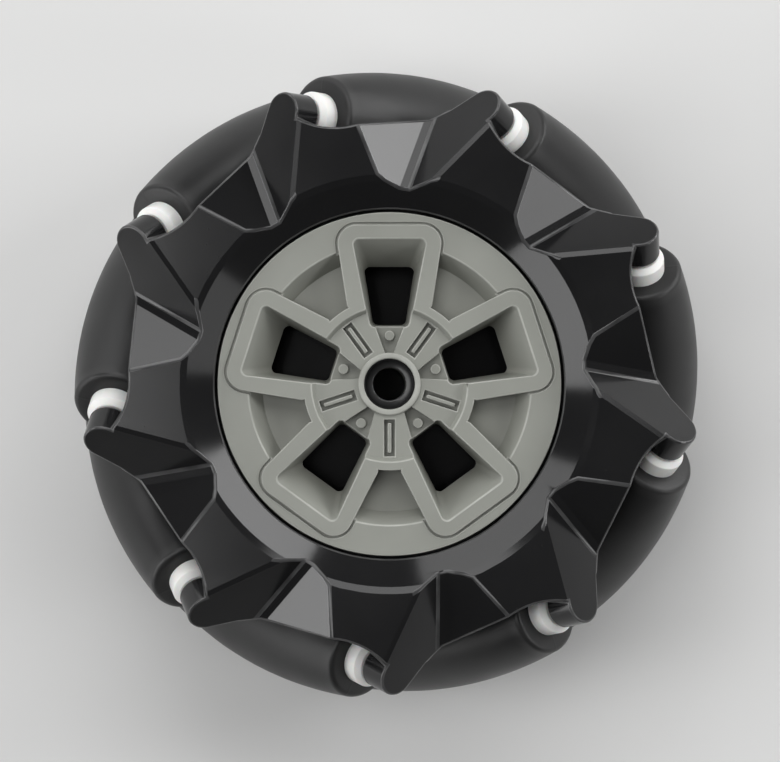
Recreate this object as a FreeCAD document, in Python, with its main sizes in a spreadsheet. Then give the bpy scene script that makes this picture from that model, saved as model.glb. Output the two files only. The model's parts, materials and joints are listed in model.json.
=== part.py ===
"""Mecanum wheel: slanted rubber-covered rollers between two toothed hub halves, with a spoked insert."""

import FreeCAD, Part
import math
import os
import Sketcher
from FreeCAD import Placement, Rotation, Vector

ROLLER_COUNT = 9
SPOKE_COUNT = 5
HEX_SIDES = 6
FULL_TURN = 360.0
QUARTER_TURN = FULL_TURN / 4
ROLLER_TILT = 45.0
THROUGH = "through"

# Driving dimensions: millimetres, and degrees where the name says slope, heading, draft or angle.
SIZES = {
    # Wheel
    "wheel_diameter": 80.0,
    "wheel_width": 37.0,
    "roller_angle": 5.2,
    # Rollers and their pins
    "roller_diameter": 14.4,
    "roller_contact_length": 30.4,
    "tyre_edge_round": 0.5,
    "core_diameter": 8.4,
    "core_shoulder": 1.6,
    "collar_diameter": 6.4,
    "collar_reach": 2.4,
    "collar_chamfer": 0.6,
    "pin_diameter": 2.0,
    "pin_length": 44.4,
    "pin_running_gap": 0.06,
    # Hub halves
    "roller_gap": 0.7,
    "room_flat": 12.0,
    "collar_gap": 0.6,
    "end_play": 0.35,
    "horn_diameter": 5.3,
    "pin_cover": 0.9,
    "plateau_length": 7.4,
    "plateau_setback": 0.7,
    "notch_depth": 0.7,
    "facet_heading": 27.0,
    "facet_slope": 32.0,
    "valley_floor": 1.2,
    "valley_angle": 3.8,
    "valley_reach": 1.0,
    "flange_foot": 3.0,
    "flange_lip": 8.0,
    "barrel_wall": 2.0,
    "dish_diameter": 51.8,
    "dish_draft": 49.0,
    "edge_bevel": 0.4,
    # Spoke insert
    "insert_diameter": 43.3,
    "insert_gap": 0.35,
    "rim_depth": 3.7,
    "rim_thickness": 3.0,
    "seat_width": 1.7,
    "seat_thickness": 2.0,
    "rim_inner_diameter": 35.6,
    "pocket_foot_diameter": 32.1,
    "pocket_depth": 2.4,
    "floor_thickness": 1.8,
    "loop_outer_radius": 20.1,
    "loop_outer_width": 13.9,
    "loop_inner_radius": 9.4,
    "loop_inner_width": 10.6,
    "loop_rise": 0.4,
    "loop_round": 2.4,
    "groove_width": 0.25,
    "groove_depth": 0.35,
    "window_outer_radius": 18.3,
    "window_outer_width": 9.4,
    "window_inner_radius": 7.1,
    "window_inner_width": 5.0,
    "window_round": 0.7,
    "opening_outer_radius": 14.8,
    "opening_outer_width": 6.4,
    "opening_inner_radius": 7.5,
    "opening_inner_width": 4.0,
    "spoke_ring_diameter": 21.8,
    "spoke_ring_width": 1.1,
    "spoke_drop": 0.5,
    "slot_start_radius": 4.5,
    "slot_end_radius": 9.1,
    "slot_width": 1.3,
    "slot_bar_width": 0.5,
    "slot_depth": 0.45,
    "centre_boss_diameter": 7.6,
    "centre_boss_drop": 0.2,
    "counterbore_diameter": 6.4,
    "counterbore_depth": 2.6,
    "bore_diameter": 4.1,
    "lug_tab_width": 3.4,
    "lug_tab_depth": 1.4,
    "lug_radius": 6.1,
    "lug_diameter": 1.3,
    "lug_height": 0.8,
    "pillar_radius": 13.4,
    "pillar_diameter": 4.6,
    # Rear web, drive socket and screws
    "web_depth": 9.5,
    "web_thickness": 3.0,
    "hex_flats": 12.0,
    "hex_depth": 5.5,
    "hex_wall": 2.6,
    "hex_floor": 1.2,
    "screw_diameter": 2.3,
    "screw_length": 8.0,
    "screw_gap": 0.1,
    "screw_head_diameter": 4.4,
    "screw_head_height": 1.6,
}

# Relations between the driving dimensions, as expressions of the document.
HALF_WIDTH = "(Sizes.wheel_width / 2)"
PITCH = "((Sizes.wheel_diameter - Sizes.roller_diameter) / 2)"
CONTACT = "(Sizes.roller_contact_length / 2)"
END_RADIUS = f"sqrt({PITCH} ^ 2 + {CONTACT} ^ 2 / 2)"
END_SPHERE = f"(Sizes.wheel_diameter / 2 - {END_RADIUS})"
TYRE_HALF = f"({CONTACT} + {END_SPHERE} * {CONTACT} / (2 * {END_RADIUS}))"
TYRE_END = f"({END_SPHERE} * sqrt(1 - ({CONTACT} / (2 * {END_RADIUS})) ^ 2))"
TYRE_MID = "(Sizes.roller_diameter / 2)"
COLLAR_END = f"({TYRE_HALF} + Sizes.collar_reach)"
COLLAR_RADIUS = "(Sizes.collar_diameter / 2)"
CORE_RADIUS = "(Sizes.core_diameter / 2)"
CORE_HALF = f"({TYRE_HALF} - Sizes.core_shoulder)"
PIN_RADIUS = "(Sizes.pin_diameter / 2)"
PIN_HALF = "(Sizes.pin_length / 2)"
HORN_FACE = f"({COLLAR_END} + Sizes.end_play)"
FLANK = f"({PIN_HALF} + Sizes.pin_cover)"
FLANK_TOP = f"({FLANK} * sqrt(2) - {HALF_WIDTH})"
PLATEAU_EDGE = f"({PITCH} - Sizes.plateau_setback)"
BARREL_OUT = f"({PITCH} - {TYRE_MID} - Sizes.roller_gap)"
BARREL_IN = f"({BARREL_OUT} - Sizes.barrel_wall)"
BLANK_REACH = f"({PITCH} + Sizes.horn_diameter / 2)"
DISH_RADIUS = "(Sizes.dish_diameter / 2)"
SEAT_RADIUS = "(Sizes.insert_diameter / 2 + Sizes.insert_gap)"
DISH_LIP = f"({DISH_RADIUS} + Sizes.edge_bevel)"
LIP_FOOT = f"({DISH_RADIUS} - Sizes.edge_bevel * tan(Sizes.dish_draft))"
LIP_LEVEL = f"({HALF_WIDTH} - Sizes.edge_bevel)"
DISH_FOOT = f"({HALF_WIDTH} - ({DISH_RADIUS} - {SEAT_RADIUS}) / tan(Sizes.dish_draft))"
RIM_TOP = f"({HALF_WIDTH} - Sizes.rim_depth)"
RIM_FOOT = f"({RIM_TOP} - Sizes.rim_thickness)"
SEAT_INNER = f"({SEAT_RADIUS} - Sizes.seat_width)"
SEAT_FOOT = f"({RIM_FOOT} - Sizes.seat_thickness)"
FLOOR_TOP = f"({RIM_TOP} - Sizes.pocket_depth)"
FLOOR_FOOT = f"({FLOOR_TOP} - Sizes.floor_thickness)"
SPOKE_TOP = f"({RIM_TOP} - Sizes.spoke_drop)"
LOOP_TOP = f"({RIM_TOP} + Sizes.loop_rise)"
GROOVE_START = "(Sizes.pocket_foot_diameter / 2 - Sizes.window_round)"
LOOP_LENGTH = "(Sizes.loop_outer_radius - Sizes.loop_inner_radius)"
LOOP_SHARE = f"(({GROOVE_START} - Sizes.loop_inner_radius) / {LOOP_LENGTH})"
LOOP_WIDTH = f"(Sizes.loop_inner_width + (Sizes.loop_outer_width - Sizes.loop_inner_width) * {LOOP_SHARE})"
LUG_TAB_TOP = f"({SPOKE_TOP} - Sizes.lug_tab_depth)"
BOSS_TOP = f"({SPOKE_TOP} + Sizes.centre_boss_drop)"
WEB_OUTER = f"({HALF_WIDTH} - Sizes.web_depth)"
WEB_INNER = f"({WEB_OUTER} - Sizes.web_thickness)"
HEX_CORNER = "(Sizes.hex_flats / sqrt(3))"
HEX_BOSS = f"({HEX_CORNER} + Sizes.hex_wall)"
HEX_BOTTOM = f"({WEB_OUTER} + Sizes.hex_floor)"
HEX_TOP = f"({HEX_BOTTOM} + Sizes.hex_depth)"
HEAD_SEAT = f"({WEB_OUTER} - Sizes.screw_head_height - Sizes.screw_gap)"
SCREW_HOLE = "(Sizes.screw_diameter / 2 + Sizes.screw_gap / 2)"
SCREW_TIP = f"({HEAD_SEAT} - Sizes.screw_length)"

doc = FreeCAD.newDocument("MecanumWheel")
sheet = doc.addObject("Spreadsheet::Sheet", "Sizes")
for row, (alias, size) in enumerate(SIZES.items(), start=1):
    sheet.set(f"A{row}", alias)
    sheet.set(f"B{row}", str(size))
    sheet.setAlias(f"B{row}", alias)
doc.recompute()
calculator = doc.addObject("App::FeaturePython", "Calculator")


def number(expression):
    """Value of an expression of the document."""
    value = calculator.evalExpression(expression)
    return float(getattr(value, "Value", value))


def origin_feature(body, role):
    """Plane or axis of a body's own origin."""
    return next(item for item in body.Origin.OriginFeatures if item.Role == role)


def new_body(label):
    """Empty body whose label names the sub-part."""
    body = doc.addObject("PartDesign::Body", label)
    body.Label = label
    return body


def new_sketch(body, name, role="XY_Plane", lift=None, offset=None):
    """Sketch on a plane of the body's origin, lifted by an expression or moved by a placement."""
    sketch = body.newObject("Sketcher::SketchObject", name)
    sketch.AttachmentSupport = [(origin_feature(body, role), "")]
    sketch.MapMode = "FlatFace"
    if offset is not None:
        sketch.AttachmentOffset = offset
    if lift is not None:
        sketch.setExpression("AttachmentOffset.Base.z", lift)
    return sketch


def pin_point(sketch, geometry, vertex, corner):
    """Hold a vertex at a corner given by two expressions."""
    for kind, axis, expression in (("DistanceX", -2, corner[0]), ("DistanceY", -1, corner[1])):
        if expression == "0":
            sketch.addConstraint(Sketcher.Constraint("PointOnObject", geometry, vertex, axis))
            continue
        index = sketch.addConstraint(Sketcher.Constraint(kind, -1, 1, geometry, vertex, number(expression)))
        sketch.setExpression(f"Constraints[{index}]", expression)


def spot(corner):
    """Position of a corner given by two expressions."""
    return Vector(number(corner[0]), number(corner[1]), 0)


def add_edge(sketch, start, end, middle=None):
    """Line, or arc through a middle point; returns the geometry and the vertices at start and end."""
    if middle is None:
        return sketch.addGeometry(Part.LineSegment(start, end)), 1, 2
    turn = (middle - start).cross(end - middle).z
    if turn > 0:
        return sketch.addGeometry(Part.Arc(start, middle, end)), 1, 2
    return sketch.addGeometry(Part.Arc(end, middle, start)), 2, 1


def draw_outline(sketch, corners):
    """Closed chain of lines between corners; a corner marked THROUGH bends its edge into an arc."""
    edges = []
    count = len(corners)
    firm = [place for place in range(count) if THROUGH not in corners[place]]
    for place, following in zip(firm, firm[1:] + firm[:1]):
        between = (place + 1) % count
        bent = corners[between] if between != following else None
        middle = spot(bent) if bent else None
        edge = add_edge(sketch, spot(corners[place]), spot(corners[following]), middle)
        edges.append((edge, corners[place], bent))
    ring = [edge for edge, _, _ in edges]
    for edge, after in zip(ring, ring[1:] + ring[:1]):
        sketch.addConstraint(Sketcher.Constraint("Coincident", edge[0], edge[2], after[0], after[1]))
    for edge, corner, bent in edges:
        pin_point(sketch, edge[0], edge[1], corner)
        if bent:
            mark = sketch.addGeometry(Part.Point(spot(bent)), True)
            sketch.addConstraint(Sketcher.Constraint("PointOnObject", mark, 1, edge[0]))
            pin_point(sketch, mark, 1, bent)


def draw_rounded(sketch, corners, radii):
    """Closed convex outline whose sharp corners are construction points and whose real corners are arcs."""
    sharp = [spot(corner) for corner in corners]
    count = len(sharp)
    arcs = []
    for place in range(count):
        here = sharp[place]
        bend = number(radii[place])
        back = (sharp[place - 1] - here).normalize()
        ahead = (sharp[(place + 1) % count] - here).normalize()
        half = back.getAngle(ahead) / 2
        inward = (back + ahead).normalize()
        middle = here + inward * (bend / math.sin(half) - bend)
        run = bend / math.tan(half)
        arcs.append((here + back * run, middle, here + ahead * run))
    bends = [add_edge(sketch, start, end, middle) for start, middle, end in arcs]
    sides = []
    for place in range(count):
        following = (place + 1) % count
        sides.append(add_edge(sketch, arcs[place][2], arcs[following][0]))
    for place in range(count):
        following = (place + 1) % count
        side = sides[place]
        sketch.addConstraint(
            Sketcher.Constraint("Tangent", bends[place][0], bends[place][2], side[0], side[1]))
        sketch.addConstraint(
            Sketcher.Constraint("Tangent", side[0], side[2], bends[following][0], bends[following][1]))
    for place in range(count):
        index = sketch.addConstraint(Sketcher.Constraint("Radius", bends[place][0], number(radii[place])))
        sketch.setExpression(f"Constraints[{index}]", radii[place])
        mark = sketch.addGeometry(Part.Point(sharp[place]), True)
        pin_point(sketch, mark, 1, corners[place])
        sketch.addConstraint(Sketcher.Constraint("PointOnObject", mark, 1, sides[place][0]))
        sketch.addConstraint(Sketcher.Constraint("PointOnObject", mark, 1, sides[place - 1][0]))


def draw_circle(sketch, diameter, centre=("0", "0")):
    """Circle of a diameter expression round a centre given by two expressions."""
    circle = sketch.addGeometry(Part.Circle(spot(centre), Vector(0, 0, 1), number(diameter) / 2))
    pin_point(sketch, circle, 3, centre)
    index = sketch.addConstraint(Sketcher.Constraint("Diameter", circle, number(diameter)))
    sketch.setExpression(f"Constraints[{index}]", diameter)


def add_feature(body, kind, name, profile):
    """Sketch-based feature of a body, made its tip."""
    feature = body.newObject(f"PartDesign::{kind}", name)
    feature.Profile = profile
    profile.Visibility = False
    body.Tip = feature
    return feature


def raise_pad(body, name, sketch, length):
    """Pad along the sketch's normal."""
    pad = add_feature(body, "Pad", name, sketch)
    pad.setExpression("Length", length)
    return pad


def cut_up(body, name, sketch, length):
    """Pocket along the sketch's normal."""
    pocket = add_feature(body, "Pocket", name, sketch)
    pocket.Reversed = True
    pocket.setExpression("Length", length)
    return pocket


def cut_through(body, name, sketch):
    """Pocket through the whole body on both sides of the sketch."""
    pocket = add_feature(body, "Pocket", name, sketch)
    pocket.Type = "ThroughAll"
    pocket.Midplane = True
    return pocket


def turn_profile(body, name, sketch, kind="Revolution"):
    """Full revolution, or groove, of a profile about the sketch's vertical axis."""
    feature = add_feature(body, kind, name, sketch)
    feature.ReferenceAxis = (sketch, ["V_Axis"])
    feature.Angle = FULL_TURN
    return feature


def repeat_round(body, name, feature, count):
    """Polar pattern of a feature about the wheel's axis."""
    pattern = body.newObject("PartDesign::PolarPattern", name)
    pattern.Originals = [feature]
    pattern.Axis = (origin_feature(body, "Z_Axis"), [""])
    pattern.Angle = FULL_TURN
    pattern.Occurrences = count
    body.Tip = pattern
    return pattern


def polar_point(radius, angle):
    """Corner at a polar position given by expressions."""
    return (f"{radius} * cos({angle})", f"{radius} * sin({angle})")


def trapezoid(outer_radius, outer_width, inner_radius, inner_width):
    """Corners of a trapezoid about the +Y direction, narrow end towards the centre."""
    return [
        (f"-{inner_width} / 2", inner_radius),
        (f"{inner_width} / 2", inner_radius),
        (f"{outer_width} / 2", outer_radius),
        (f"-{outer_width} / 2", outer_radius),
    ]


def roller_placement(index):
    """Place of a roller's own frame: its middle on the pitch circle, its axis tilted along the rim."""
    angle = number("Sizes.roller_angle") + FULL_TURN / ROLLER_COUNT * index
    lean = Rotation(Vector(1, 0, 0), -ROLLER_TILT)
    swing = Rotation(Vector(0, 0, 1), angle)
    middle = swing.multVec(Vector(number(PITCH), 0, 0)) + Vector(0, 0, number(HALF_WIDTH))
    return Placement(middle, swing * lean)


def make_roller_core(index):
    """White core: a barrel with a chamfered collar at each end and a bore that runs on the pin."""
    body = new_body(f"roller_core_{index + 1}")
    sketch = new_sketch(body, "CoreProfile", "XZ_Plane")
    bore = f"({PIN_RADIUS} + Sizes.pin_running_gap)"
    nose = f"({COLLAR_RADIUS} - Sizes.collar_chamfer)"
    neck = f"({COLLAR_END} - Sizes.collar_chamfer)"
    upper = [
        (CORE_RADIUS, CORE_HALF),
        (COLLAR_RADIUS, CORE_HALF),
        (COLLAR_RADIUS, neck),
        (nose, COLLAR_END),
        (bore, COLLAR_END),
    ]
    lower = [(radius, f"-{axial}") for radius, axial in reversed(upper)]
    draw_outline(sketch, lower + upper)
    turn_profile(body, "CoreTurning", sketch)
    body.Placement = roller_placement(index)
    return body


def make_roller_tyre(index):
    """Rubber tyre: the barrel that rolls on the wheel's outline, with lips over the core's shoulders."""
    body = new_body(f"roller_tyre_{index + 1}")
    sketch = new_sketch(body, "TyreProfile", "XZ_Plane")
    rim = f"({TYRE_END} - Sizes.tyre_edge_round)"
    edge = f"({TYRE_HALF} - Sizes.tyre_edge_round)"
    draw_outline(sketch, [
        (CORE_RADIUS, f"-{CORE_HALF}"),
        (COLLAR_RADIUS, f"-{CORE_HALF}"),
        (COLLAR_RADIUS, f"-{TYRE_HALF}"),
        (rim, f"-{TYRE_HALF}"),
        (TYRE_END, f"-{edge}"),
        (TYRE_MID, "0", THROUGH),
        (TYRE_END, edge),
        (rim, TYRE_HALF),
        (COLLAR_RADIUS, TYRE_HALF),
        (COLLAR_RADIUS, CORE_HALF),
        (CORE_RADIUS, CORE_HALF),
    ])
    turn_profile(body, "TyreTurning", sketch)
    body.Placement = roller_placement(index)
    return body


def make_roller_pin(index):
    """Steel pin that carries a roller between its two horns."""
    body = new_body(f"roller_pin_{index + 1}")
    sketch = new_sketch(body, "PinProfile", "XZ_Plane")
    draw_outline(sketch, [
        ("0", f"-{PIN_HALF}"),
        (PIN_RADIUS, f"-{PIN_HALF}"),
        (PIN_RADIUS, PIN_HALF),
        ("0", PIN_HALF),
    ])
    turn_profile(body, "PinTurning", sketch)
    body.Placement = roller_placement(index)
    return body


def trim_outline(body):
    """Cut the blank back to the teeth's outline, which sets the rollers free, once for each roller."""
    step = FULL_TURN / ROLLER_COUNT
    far = f"2 * {BLANK_REACH}"
    valley_radius = f"({PITCH} + Sizes.valley_reach)"
    horn_side = f"({FLANK} + Sizes.horn_diameter / 2) / sqrt(2)"
    sketch = new_sketch(body, "ToothOutline")
    draw_outline(sketch, [
        polar_point(valley_radius, "-Sizes.valley_angle"),
        polar_point(far, "-Sizes.valley_angle"),
        polar_point(far, f"({step} - Sizes.valley_angle)"),
        polar_point(valley_radius, f"({step} - Sizes.valley_angle)"),
        (PLATEAU_EDGE, horn_side),
        (PLATEAU_EDGE, FLANK_TOP),
        (f"({PLATEAU_EDGE} - Sizes.notch_depth)", f"({FLANK_TOP} - Sizes.plateau_length / 2)", THROUGH),
        (PLATEAU_EDGE, f"({FLANK_TOP} - Sizes.plateau_length)"),
    ])
    pocket = cut_through(body, "OutlineCut", sketch)
    repeat_round(body, "OutlineCuts", pocket, ROLLER_COUNT)


def add_horns(body):
    """Round bosses on the roller axes, one at the end of each tooth, that hold the pins."""
    start = f"({COLLAR_END} / sqrt(2))"
    lean = Rotation(Vector(1, 0, 0), -ROLLER_TILT)
    sketch = new_sketch(body, "HornCircle", offset=Placement(Vector(0, 0, 0), lean))
    sketch.setExpression("AttachmentOffset.Base.x", PITCH)
    sketch.setExpression("AttachmentOffset.Base.y", start)
    sketch.setExpression("AttachmentOffset.Base.z", start)
    draw_circle(sketch, "Sizes.horn_diameter")
    horn = raise_pad(body, "Horn", sketch, f"({FLANK} - {COLLAR_END} + Sizes.pin_cover)")
    repeat_round(body, "Horns", horn, ROLLER_COUNT)


def slope_normal(heading, slope):
    """Upward normal of a plane that falls towards a heading at a slope, both in degrees."""
    fall = Vector(math.cos(math.radians(heading)), math.sin(math.radians(heading)), 0)
    return fall * math.sin(math.radians(slope)) + Vector(0, 0, math.cos(math.radians(slope)))


def cut_valleys(body):
    """Cut the valleys, each between one tooth's sloping facet and the next tooth's flank."""
    top = number(HALF_WIDTH)
    step = FULL_TURN / ROLLER_COUNT
    tooth_corner = Vector(number(PLATEAU_EDGE), number(FLANK_TOP), top)
    facet_point = tooth_corner - Vector(0, number("Sizes.plateau_length"), 0)
    facet = slope_normal(number("Sizes.facet_heading") - QUARTER_TURN, number("Sizes.facet_slope"))
    flank = slope_normal(QUARTER_TURN - step, ROLLER_TILT)
    flank_point = Rotation(Vector(0, 0, 1), -step).multVec(tooth_corner)
    along = facet.cross(flank).normalize()
    if along.x < 0:
        along = along * -1
    station = Vector(number(SEAT_INNER), 0, 0)
    # The valley line starts where the facet, the flank and the station's plane across X meet.
    across = Vector(1, 0, 0)
    scale = facet.dot(flank.cross(across))
    valley = (
        flank.cross(across) * facet.dot(facet_point)
        + across.cross(facet) * flank.dot(flank_point)
        + facet.cross(flank) * across.dot(station)
    ) * (1 / scale)
    side = Vector(0, 0, 1).cross(along).normalize()
    up = along.cross(side)
    frame = Placement(valley, Rotation(side, up, along, "ZXY"))
    # Rises along the facet and along the flank, square to the valley line, for each millimetre of height.
    facet_rise = along.cross(facet)
    facet_rise = facet_rise * (1 / facet_rise.dot(up))
    flank_rise = along.cross(flank)
    flank_rise = flank_rise * (1 / flank_rise.dot(up))
    # A level floor strip blunts the bottom of the valley.
    floor = number("Sizes.valley_floor") / (flank_rise - facet_rise).Length
    height = 2 * number("Sizes.wheel_width")
    section = [flank_rise * floor, facet_rise * floor, facet_rise * height, flank_rise * height]
    sketch = new_sketch(body, "ValleySection", offset=frame)
    draw_outline(sketch, [(str(point.dot(side)), str(point.dot(up))) for point in section])
    pocket = cut_up(body, "ValleyCut", sketch, f"2 * {BLANK_REACH}")
    repeat_round(body, "ValleyCuts", pocket, ROLLER_COUNT)


def clear_rollers(body):
    """Cut the room for each roller's tyre and collars, and the seats of its pin, about the roller's axis."""
    tilt = Rotation(Vector(1, 0, 0), ROLLER_TILT)
    sketch = new_sketch(body, "RollerRoom", offset=Placement(Vector(0, 0, 0), tilt))
    sketch.setExpression("AttachmentOffset.Base.x", PITCH)
    collar_room = f"({COLLAR_RADIUS} + Sizes.collar_gap)"
    tyre_room = f"({TYRE_END} + Sizes.roller_gap)"
    tyre_end = f"({TYRE_HALF} + Sizes.roller_gap)"
    upper = [
        (f"({TYRE_MID} + Sizes.roller_gap)", "Sizes.room_flat / 2"),
        (tyre_room, tyre_end),
        (collar_room, tyre_end),
        (collar_room, HORN_FACE),
        (PIN_RADIUS, HORN_FACE),
        (PIN_RADIUS, PIN_HALF),
        ("0", PIN_HALF),
    ]
    lower = [(radius, f"-{axial}") for radius, axial in reversed(upper)]
    draw_outline(sketch, lower + upper)
    groove = turn_profile(body, "RollerCut", sketch, "Groove")
    repeat_round(body, "RollerCuts", groove, ROLLER_COUNT)


def bevel_flanks(body):
    """Bevel the straight edge of each tooth between its flat top and its flank."""
    outer = f"({FLANK_TOP} + Sizes.edge_bevel / 2)"
    sketch = new_sketch(body, "FlankBevelSection", "YZ_Plane")
    draw_outline(sketch, [
        (f"({FLANK_TOP} - Sizes.edge_bevel)", HALF_WIDTH),
        (outer, f"({HALF_WIDTH} - Sizes.edge_bevel / 2)"),
        (outer, HALF_WIDTH),
    ])
    pocket = cut_up(body, "FlankBevel", sketch, BLANK_REACH)
    repeat_round(body, "FlankBevels", pocket, ROLLER_COUNT)


def shape_teeth(body):
    """Turn the blank of a hub half into its ring of horned teeth."""
    trim_outline(body)
    add_horns(body)
    cut_valleys(body)
    clear_rollers(body)
    bevel_flanks(body)


def make_front_hub():
    """Front half: a dished ring with a seat for the insert and the ring of horned teeth."""
    body = new_body("front_hub")
    sketch = new_sketch(body, "BlankProfile", "XZ_Plane")
    draw_outline(sketch, [
        (BARREL_IN, "0"),
        (BARREL_OUT, "0"),
        (BARREL_OUT, "Sizes.flange_foot"),
        (BLANK_REACH, "Sizes.flange_lip"),
        (BLANK_REACH, HALF_WIDTH),
        (DISH_LIP, HALF_WIDTH),
        (LIP_FOOT, LIP_LEVEL),
        (SEAT_RADIUS, DISH_FOOT),
        (SEAT_RADIUS, RIM_FOOT),
        (SEAT_INNER, RIM_FOOT),
        (SEAT_INNER, SEAT_FOOT),
        (BARREL_IN, SEAT_FOOT),
    ])
    turn_profile(body, "Blank", sketch)
    shape_teeth(body)
    swing = Rotation(Vector(0, 0, 1), number("Sizes.roller_angle"))
    body.Placement = Placement(Vector(0, 0, number(HALF_WIDTH)), swing)
    return body


def make_rear_hub():
    """Rear half: the ring of teeth turned over, closed by a web with the drive socket and screw seats."""
    body = new_body("rear_hub")
    sketch = new_sketch(body, "BlankProfile", "XZ_Plane")
    draw_outline(sketch, [
        ("0", WEB_INNER),
        (BARREL_IN, WEB_INNER),
        (BARREL_IN, "0"),
        (BARREL_OUT, "0"),
        (BARREL_OUT, "Sizes.flange_foot"),
        (BLANK_REACH, "Sizes.flange_lip"),
        (BLANK_REACH, HALF_WIDTH),
        (DISH_LIP, HALF_WIDTH),
        (LIP_FOOT, LIP_LEVEL),
        (SEAT_RADIUS, DISH_FOOT),
        (SEAT_RADIUS, WEB_OUTER),
        (HEX_BOSS, WEB_OUTER),
        (HEX_BOSS, HEX_TOP),
        ("0", HEX_TOP),
    ])
    turn_profile(body, "Blank", sketch)
    shape_teeth(body)
    socket = new_sketch(body, "SocketHexagon", lift=HEX_BOTTOM)
    corner_step = FULL_TURN / HEX_SIDES
    draw_outline(socket, [polar_point(HEX_CORNER, f"({corner_step} * {side})") for side in range(HEX_SIDES)])
    cut_up(body, "Socket", socket, "2 * Sizes.hex_depth")
    bore = new_sketch(body, "BoreCircle")
    draw_circle(bore, "Sizes.bore_diameter")
    cut_through(body, "Bore", bore)
    heading = f"(Sizes.roller_angle - {QUARTER_TURN} - {FULL_TURN / SPOKE_COUNT / 2})"
    centre = polar_point("Sizes.pillar_radius", heading)
    hole = new_sketch(body, "ScrewHoleCircle")
    draw_circle(hole, f"2 * {SCREW_HOLE}", centre)
    repeat_round(body, "ScrewHoles", cut_through(body, "ScrewHole", hole), SPOKE_COUNT)
    seat = new_sketch(body, "HeadSeatCircle", lift=HEAD_SEAT)
    draw_circle(seat, "Sizes.screw_head_diameter + 2 * Sizes.screw_gap", centre)
    repeat_round(body, "HeadSeats", cut_up(body, "HeadSeat", seat, HALF_WIDTH), SPOKE_COUNT)
    swing = Rotation(Vector(0, 0, 1), number("Sizes.roller_angle"))
    turned = Rotation(Vector(1, 0, 0), FULL_TURN / 2)
    body.Placement = Placement(Vector(0, 0, number(HALF_WIDTH)), swing * turned)
    return body


def add_insert_plate(body):
    """Rim, recessed floor, raised spoke ring and the spokes' own level, as one turned plate."""
    sketch = new_sketch(body, "PlateProfile", "XZ_Plane")
    skirt = f"({SEAT_INNER} - Sizes.insert_gap)"
    ring_inner = "(Sizes.spoke_ring_diameter / 2 - Sizes.spoke_ring_width)"
    draw_outline(sketch, [
        ("0", FLOOR_FOOT),
        (skirt, FLOOR_FOOT),
        (skirt, RIM_FOOT),
        ("Sizes.insert_diameter / 2", RIM_FOOT),
        ("Sizes.insert_diameter / 2", RIM_TOP),
        ("Sizes.rim_inner_diameter / 2", RIM_TOP),
        ("Sizes.pocket_foot_diameter / 2", FLOOR_TOP),
        ("Sizes.spoke_ring_diameter / 2", FLOOR_TOP),
        ("Sizes.spoke_ring_diameter / 2", LOOP_TOP),
        (ring_inner, LOOP_TOP),
        (f"({ring_inner} - (Sizes.loop_rise + Sizes.spoke_drop) / 2)", SPOKE_TOP),
        ("0", SPOKE_TOP),
    ])
    turn_profile(body, "Plate", sketch)


def add_insert_loops(body):
    """Five raised loops, the groove round each on the rim, and the funnel-shaped window through each."""
    groove = new_sketch(body, "GrooveOutline", lift=f"({RIM_TOP} - Sizes.groove_depth)")
    groove_round = "Sizes.loop_round + Sizes.groove_width"
    groove_rounds = ["Sizes.window_round", "Sizes.window_round", groove_round, groove_round]
    draw_rounded(groove, trapezoid("(Sizes.loop_outer_radius + Sizes.groove_width)",
                                   "(Sizes.loop_outer_width + 2 * Sizes.groove_width)",
                                   GROOVE_START, f"({LOOP_WIDTH} + 2 * Sizes.groove_width)"), groove_rounds)
    repeat_round(body, "Grooves", cut_up(body, "Groove", groove, "2 * Sizes.groove_depth"), SPOKE_COUNT)
    loop = new_sketch(body, "LoopOutline", lift=RIM_FOOT)
    loop_rounds = ["Sizes.window_round", "Sizes.window_round", "Sizes.loop_round", "Sizes.loop_round"]
    draw_rounded(loop, trapezoid("Sizes.loop_outer_radius", "Sizes.loop_outer_width",
                                 "Sizes.loop_inner_radius", "Sizes.loop_inner_width"), loop_rounds)
    repeat_round(body, "Loops", raise_pad(body, "Loop", loop, f"({LOOP_TOP} - {RIM_FOOT})"), SPOKE_COUNT)
    front = new_sketch(body, "WindowFront", lift=LOOP_TOP)
    window = trapezoid("Sizes.window_outer_radius", "Sizes.window_outer_width",
                       "Sizes.window_inner_radius", "Sizes.window_inner_width")
    window_rounds = ["Sizes.window_round"] * len(window)
    draw_rounded(front, window, window_rounds)
    back = new_sketch(body, "WindowBack", lift=FLOOR_FOOT)
    draw_rounded(back, trapezoid("Sizes.opening_outer_radius", "Sizes.opening_outer_width",
                                 "Sizes.opening_inner_radius", "Sizes.opening_inner_width"), window_rounds)
    funnel = add_feature(body, "SubtractiveLoft", "Window", front)
    funnel.Sections = [back]
    funnel.Ruled = True
    repeat_round(body, "Windows", funnel, SPOKE_COUNT)


def add_insert_centre(body):
    """Bored centre boss that reaches down to the rear web, with its counterbore."""
    boss = new_sketch(body, "BossCircle", lift=f"-{WEB_INNER}")
    draw_circle(boss, "Sizes.centre_boss_diameter")
    raise_pad(body, "Boss", boss, f"({BOSS_TOP} + {WEB_INNER})")
    bore = new_sketch(body, "BoreCircle")
    draw_circle(bore, "Sizes.bore_diameter")
    cut_through(body, "Bore", bore)
    counterbore = new_sketch(body, "CounterboreCircle", lift=f"({BOSS_TOP} - Sizes.counterbore_depth)")
    draw_circle(counterbore, "Sizes.counterbore_diameter")
    cut_up(body, "Counterbore", counterbore, "2 * Sizes.counterbore_depth")


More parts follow.
